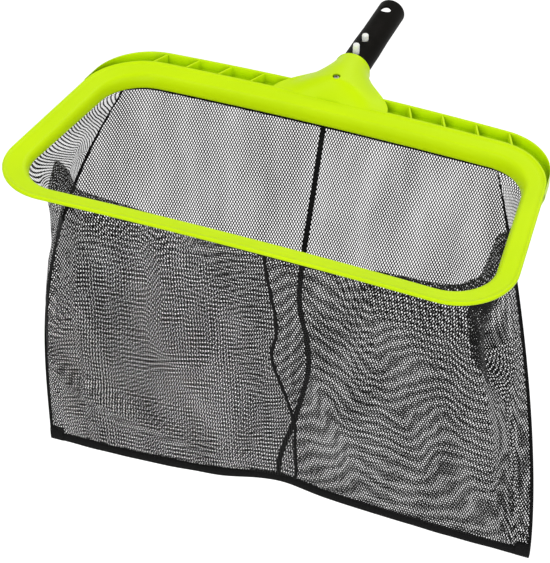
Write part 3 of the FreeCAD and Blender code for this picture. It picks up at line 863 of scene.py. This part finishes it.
def read_off(table, place):
    """Value at a place of a table of (place, value), straight between its rows."""
    for (first, start), (second, end) in zip(table, table[1:]):
        if first <= place <= second:
            return start + (end - start) * (place - first) / (second - first)
    return 0.0


def wander(turns):
    """How far a slack seam strays sideways on its way down, from its (down, aside) turns."""
    course = smooth_course([Vector((down, aside, 0)) for down, aside in turns], 6)
    return [(spot.x, spot.y) for spot in course]


straight = wander([(0, 0), (1, 0)])
front_wander = wander([
    (0, 0), (0.15, 0.001), (0.25, 0.003), (0.33, 0.001), (0.41, -0.006), (0.47, -0.005),
    (0.54, -0.001), (0.70, 0.008), (0.80, 0.006), (0.93, 0.003), (1, 0)])
back_wander = wander([
    (0, 0), (0.40, 0), (0.50, 0.007), (0.55, 0.014), (0.61, 0.0195), (0.66, 0.020),
    (0.735, 0.016), (0.81, 0.011), (0.87, 0.005), (0.94, 0), (1, 0)])
# Each seam and each front corner: its point of the ring, the place of its foot on the hem, how
# soon it leaves the mouth's outline, sideways and forwards (1 runs straight to its foot), and
# how it wanders.
left_edge = (left_seam, left_foot, (4.0, 3.4, 3.4), straight)
left_fold = (ring_count - corner_middle, left_foot + 0.010, (0.7, 12.0, 0.3), straight)
front_edge = (front_seam, front_seam_foot, (1.2, 1.0, 1.0), front_wander)
right_fold = (corner_middle, right_foot - 0.032, (1.0, 0.6, 0.6), straight)
right_edge = (right_seam, right_foot, (1.5, 1.1, 1.1), straight)
back_edge = (back_seam, back_seam_foot, (1.5, 1.4, 1.4), back_wander)
knots = {
    "front_left": [left_edge, left_fold, (ring_count + front_seam,) + front_edge[1:]],
    "front_right": [front_edge, right_fold, right_edge],
    "back_left": [left_edge, back_edge],
    "back_right": [back_edge, right_edge]}
fold_fade = 8
soft_columns = 5
# Soft folds: (across 1, down 1, across 2, down 2, half width, depth), across and down in
# shares of the whole front or back. The first four draw in the side gussets at the top.
front_folds = [
    (0.86, 0.15, 0.88, 0.44, 0.055, -0.030), (0.10, -0.05, 0.13, 0.30, 0.050, -0.009),
    (0.22, -0.04, 0.21, 0.46, 0.040, -0.011), (0.77, 0.02, 0.77, 0.35, 0.030, -0.005),
    (0.30, 0.00, 0.24, 0.55, 0.026, 0.006), (0.34, 0.02, 0.33, 0.60, 0.020, -0.005),
    (0.38, 0.02, 0.37, 0.55, 0.016, 0.005), (0.43, 0.04, 0.46, 0.80, 0.020, -0.004),
    (0.22, 0.70, 0.32, 0.84, 0.018, 0.007), (0.32, 0.84, 0.46, 0.95, 0.018, 0.004),
    (0.53, 0.05, 0.58, 0.95, 0.018, 0.005), (0.60, 0.05, 0.66, 0.80, 0.022, -0.005),
    (0.72, 0.03, 0.78, 0.60, 0.020, 0.007), (0.66, 0.10, 0.74, 0.90, 0.022, 0.004)]
back_folds = [
    (0.20, 0.10, 0.34, 0.80, 0.040, 0.006), (0.70, 0.15, 0.60, 0.85, 0.040, -0.006),
    (0.84, 0.10, 0.80, 0.90, 0.030, 0.005), (0.46, 0.50, 0.40, 0.98, 0.024, -0.005)]
# Where the cloth bunches inwards just under the lip: (across, depth), along the whole front.
tucks = [
    (0.256, 0), (0.259, 0.062), (0.2685, 0.0595), (0.276, 0.0524), (0.2825, 0.0398),
    (0.287, 0.032), (0.292, 0.026), (0.324, 0.0225), (0.354, 0.020), (0.391, 0.0165),
    (0.42, 0), (0.58, 0), (0.615, 0.0185), (0.65, 0.0215), (0.68, 0.024), (0.715, 0.026),
    (0.745, 0.026), (0.765, 0.026), (0.785, 0.020), (0.835, 0.018), (0.86, 0.017), (0.89, 0)]


def tucked(across, down, run):
    """How the front bunches inwards under the lip at a place on it, where run goes along it."""
    inward = Vector((-0.38, 0.925, 0)) if across < 0.5 else Vector((-run.y, run.x, 0))
    depth = read_off(tucks, across) * ease(down, 0.0, 0.004) * (1 - ease(down, 0.006, 0.15))
    return inward.normalized() * depth


def down_at(level, levels):
    """Share of the way down at a row of the net: the rows lie closer at the top."""
    return (level / levels) ** 1.3


def fold_depth(folds, across, down):
    """How far the folds push the net outwards at a place on it."""
    push = 0.0
    for x1, y1, x2, y2, width, depth in folds:
        run_x, run_y = x2 - x1, (y2 - y1) * 0.55
        at_x, at_y = across - x1, (down - y1) * 0.55
        length = math.hypot(run_x, run_y)
        share = (at_x * run_x + at_y * run_y) / (length * length)
        away = abs(at_x * run_y - at_y * run_x) / length
        ends = ease(share, -0.15, 0.25) * (1 - ease(share, 0.75, 1.15))
        push += depth * ends * math.exp(-(away / width) ** 2)
    return push


def drawn_in(down, haste):
    """Share of the way from the mouth's outline to the hem's, at a share of the way down."""
    if haste < 1:
        return down ** (1 / haste)
    return 1 - (1 - down) ** haste


def hung(top, foot, knot, down):
    """A point of a seam or a fold, between its top and its foot."""
    haste = knot[2]
    aside = drawn_in(down, haste[0])
    ahead = (drawn_in(down, haste[1]) + drawn_in(down, haste[2])) / 2
    return Vector((
        top.x + (foot.x - top.x) * aside + read_off(knot[3], down),
        top.y + (foot.y - top.y) * ahead, top.z + (foot.z - top.z) * down))


def net_columns(panel, count, levels):
    """Lines of points down a panel, from its left edge to its right one, without its folds."""
    held = knots[panel]
    first = held[0][0]
    if held[-1][0] < first:
        line = net_ring[held[-1][0]:first + 1][::-1]
    else:
        line = [net_ring[i % ring_count] for i in range(first, held[-1][0] + 1)]
    lengths = lengths_along(line)
    marks = [lengths[abs(knot[0] - first)] / lengths[-1] for knot in held]
    columns = []
    for step in range(count + 1):
        share = step / count
        part = max(index for index in range(len(held) - 1) if share >= marks[index] - 1e-9)
        inside = (share - marks[part]) / (marks[part + 1] - marks[part])
        start, end = held[part], held[part + 1]
        tops = [net_ring[knot[0] % ring_count] for knot in (start, end)]
        bottoms = [hem_at(knot[1]) for knot in (start, end)]
        off_top = along_line(line, share) - tops[0].lerp(tops[1], inside)
        foot = hem_at(start[1] + inside * (end[1] - start[1]))
        off_foot = foot - bottoms[0].lerp(bottoms[1], inside)
        column = []
        for level in range(levels + 1):
            down = down_at(level, levels)
            one = hung(tops[0], bottoms[0], start, down)
            two = hung(tops[1], bottoms[1], end, down)
            column.append(
                one.lerp(two, inside) + off_top * (1 - down) ** fold_fade
                + off_foot * down ** fold_fade)
        columns.append(column)
    return columns, line


def net_grid(panel, count, levels):
    """Points of a panel with its corners softened and its folds pushed in, and its top line."""
    columns, line = net_columns(panel, count, levels)
    front = panel.startswith("front")
    folds = front_folds if front else back_folds
    grid = []
    for step in range(count + 1):
        reach = min(soft_columns, step, count - step)
        share = step / count
        whole = share / 2 if panel.endswith("left") else 0.5 + share / 2
        top = columns[step][0]
        away = Vector((top.x / 0.25, (top.y - mouth_y) / 0.11, 0)).normalized()
        column = []
        for level in range(levels + 1):
            down = down_at(level, levels)
            near = [columns[i][level] for i in range(step - reach, step + reach + 1)]
            spot = sum(near, Vector((0, 0, 0))) / len(near)
            if level in (0, levels):
                spot = columns[step][level]
            outward = away.lerp(Vector((0, -1 if front else 1, 0)), down ** 2).normalized()
            place = Vector((whole * 7, down * 5, 3.0 if front else 9.0))
            push = fold_depth(folds, whole, down)
            push += 0.0022 * noise.noise(place) + 0.0010 * noise.noise(place * 2.7)
            push *= ease(down, 0.0, 0.06) * (1 - ease(down, 0.88, 1.0))
            push *= ease(whole, 0.0, 0.05) * (1 - ease(whole, 0.95, 1.0))
            spot = spot + outward * push
            if front:
                before = columns[max(step - 1, 0)][0]
                after = columns[min(step + 1, count)][0]
                spot = spot + tucked(whole, down, after - before)
            column.append(spot)
        grid.append(column)
    return grid, line


def net_mesh_finish():
    """Black yarn knitted in rows of staggered diamond holes, clear between the strands."""
    finish, tree, shader = new_finish("net_mesh", 0.6, 0.08)
    cloth = add_node(tree, "UVMap", uv_map="cloth").outputs["UV"]
    wobble = add_node(tree, "TexNoise", {"Vector": cloth, "Scale": 60.0, "Detail": 2.0})
    shift = add_node(tree, "VectorMath", {
        0: wobble.outputs["Color"], 1: (0.0016, 0.0016, 0.0), 2: cloth}, operation="MULTIPLY_ADD")
    split = add_node(tree, "SeparateXYZ", {"Vector": shift.outputs["Vector"]})
    across = worked_out(tree, "MULTIPLY", split.outputs["X"], math.pi / hole_pitch)
    down = worked_out(tree, "MULTIPLY", split.outputs["Y"], math.pi / (2 * hole_rows))
    waves = [worked_out(tree, "SINE", worked_out(tree, kind, across, down))
             for kind in ("ADD", "SUBTRACT")]
    size = worked_out(tree, "ABSOLUTE", worked_out(tree, "MULTIPLY", *waves))

    # The cloth is slacker in streaks that run down it, and its holes are larger there.
    streaks = add_node(tree, "Mapping", {"Vector": cloth, "Scale": (1.0, 0.30, 1.0)})
    slack = add_node(tree, "TexNoise", {
        "Vector": streaks.outputs["Vector"], "Scale": 26.0, "Detail": 3.0})
    opened = add_node(tree, "MapRange", {
        "Value": slack.outputs["Fac"], "From Min": 0.3, "From Max": 0.7,
        "To Min": -slack_share, "To Max": slack_share})
    yarn = add_node(tree, "MapRange", {
        "Value": worked_out(tree, "ADD", size, opened.outputs["Result"]),
        "From Min": strand - 0.03, "From Max": strand + 0.03, "To Min": 1.0, "To Max": 0.0})
    below_top = add_node(tree, "Attribute", attribute_name="below_top").outputs["Fac"]
    edge = worked_out(tree, "LESS_THAN", below_top, sewn_edge)
    solid = worked_out(tree, "MAXIMUM", yarn.outputs["Result"], edge)
    # Painted sheen and shade: each strand is coloured a little lighter along its middle and
    # darker towards its edges, as light falls on a round yarn.
    painted_strand_sheen = add_node(tree, "ValToRGB", {"Fac": size})
    painted_strand_sheen.color_ramp.elements[0].color = (0.010, 0.010, 0.010, 1)
    painted_strand_sheen.color_ramp.elements[1].color = (0.002, 0.002, 0.002, 1)
    painted_strand_sheen.color_ramp.elements[1].position = strand
    bump = add_node(
        tree, "Bump", {"Height": size, "Strength": 0.6, "Distance": 0.0005}, invert=True)
    tree.links.new(solid, shader.inputs["Alpha"])
    tree.links.new(painted_strand_sheen.outputs["Color"], shader.inputs["Base Color"])
    tree.links.new(bump.outputs["Normal"], shader.inputs["Normal"])
    return finish


net_mesh = net_mesh_finish()
net_down_steps = 84
across_steps = 96
grids = {}
for panel in knots:
    grid, line = net_grid(panel, across_steps, net_down_steps)
    grids[panel] = grid
    rows = [[column[level] for column in grid] for level in range(net_down_steps + 1)]
    drop = lengths_along(grid[across_steps // 2])[-1]
    vertices, faces = skin(rows, round_rows=False, closed=False)
    name = "net_" + panel
    centre_edge = front_edge if panel.startswith("front") else back_edge
    mesh = bpy.data.meshes.new(name)
    mesh.from_pydata([tuple(spot) for spot in vertices], [], faces)
    mesh.polygons.foreach_set("use_smooth", [True] * len(mesh.polygons))
    mesh.materials.append(net_mesh)
    cloth = mesh.uv_layers.new(name="cloth")
    bake = mesh.uv_layers.new(name="OFBake")
    along_rows = [lengths_along(row) for row in rows]
    down_columns = [lengths_along(column) for column in grid]
    below_top = mesh.attributes.new("below_top", "FLOAT", "POINT")
    for number in range(len(vertices)):
        level, step = divmod(number, across_steps + 1)
        below_top.data[number].value = down_columns[step][level]
    for loop in mesh.loops:
        level, step = divmod(loop.vertex_index, across_steps + 1)
        across = along_rows[level][step]
        if panel.endswith("left"):
            across -= along_rows[level][-1]
        across += read_off(centre_edge[3], down_at(level, net_down_steps))
        stretch, turn = cuts[panel]
        spot = Vector((across, -down_columns[step][level])) * stretch
        spot.rotate(Matrix.Rotation(math.radians(turn), 2))
        cloth.data[loop.index].uv = spot
        bake.data[loop.index].uv = (
            0.002 + 0.996 * step / across_steps, 0.998 - 0.996 * level / net_down_steps)
    piece = bpy.data.objects.new(name, mesh)
    scene.collection.objects.link(piece)
    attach(piece, "rake")
    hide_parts(panel + "_net")

# The seams: black woven tape folded over the edges of two panels and sewn through. Two run
# down the middle of the front and the back, and two down the sides from the rear corners.


def tape(name, course, across, outward, width, thickness, node):
    """A flat rounded tape along a course, with its width and its thickness directions."""
    rows = []
    for spot, wide, out in zip(course, across, outward):
        rows.append([
            spot + wide * over * width / 2 + out * up * thickness / 2
            for over, up in squarish(12, 0.7)])
    piece = new_piece("tape_" + name, *capped(rows), binding_tape, sharp=70)
    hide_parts(node)
    return piece


def seam(name, panel, edge, beside, width, thickness, flat):
    """A tape down an edge of a panel, flat on the net or standing out from it."""
    course = grids[panel][edge]
    across = []
    outward = []
    for index, (spot, near) in enumerate(zip(course, grids[panel][beside])):
        after = course[min(index + 1, len(course) - 1)]
        before = course[max(index - 1, 0)]
        run = (after - before).normalized()
        narrow = 1 if flat else 0.35 + 0.65 * ease(index / len(course), 0.05, 0.30)
        aside = near - spot if flat else Vector((spot.x, spot.y - mouth_y, 0)).normalized()
        wide = (aside - run * aside.dot(run)).normalized()
        across.append(wide * narrow)
        outward.append(run.cross(wide).normalized())
    return tape(name, course, across, outward, width, thickness, name)


front_tape = seam("front_centre_seam", "front_left", -1, -4, 0.0034, 0.0014, True)
back_tape = seam("back_centre_seam", "back_left", -1, -4, 0.0052, 0.0018, True)
left_tape = seam("left_side_seam", "front_left", 0, 3, 0.0034, 0.0016, False)
right_tape = seam("right_side_seam", "front_right", -1, -4, 0.0034, 0.0016, False)

# The hem: the same tape, wider, folded over both layers of net along the foot of the bag and
# sewn through twice. A stitched patch of it wraps each end, where the bag drags on the wall.
hem_height = 0.0105
hem_thickness = 0.0038
patch_height = 0.018
patch_thickness = 0.0052
hem_steps = 160
hem_points = [along_line(hem_line, step / hem_steps) for step in range(hem_steps + 1)]
upright = [Vector((0, 0, 1 + 0.12 * noise.noise(Vector((step / 9, 0, 4)))))
           for step in range(hem_steps + 1)]
facing = []
for index in range(hem_steps + 1):
    run = hem_points[min(index + 1, hem_steps)] - hem_points[max(index - 1, 0)]
    facing.append(Vector((-run.y, run.x, 0)).normalized())
hem = tape(
    "hem_band", hem_points, upright, facing, hem_height, hem_thickness, "bottom_hem")
for name, first in (("left", 0), ("right", hem_steps - 4)):
    spots = [spot + Vector((0, 0, 0.0035)) for spot in hem_points[first:first + 5]]
    if name == "left":
        spots.insert(0, spots[0] - Vector((0.001, 0, 0)))
    else:
        spots.append(spots[-1] + Vector((0.001, 0, 0)))
    tape(
        "patch_" + name, spots, [Vector((0, 0, 1))] * len(spots),
        [facing[first]] * len(spots), patch_height, patch_thickness,
        name + "_corner_patch")
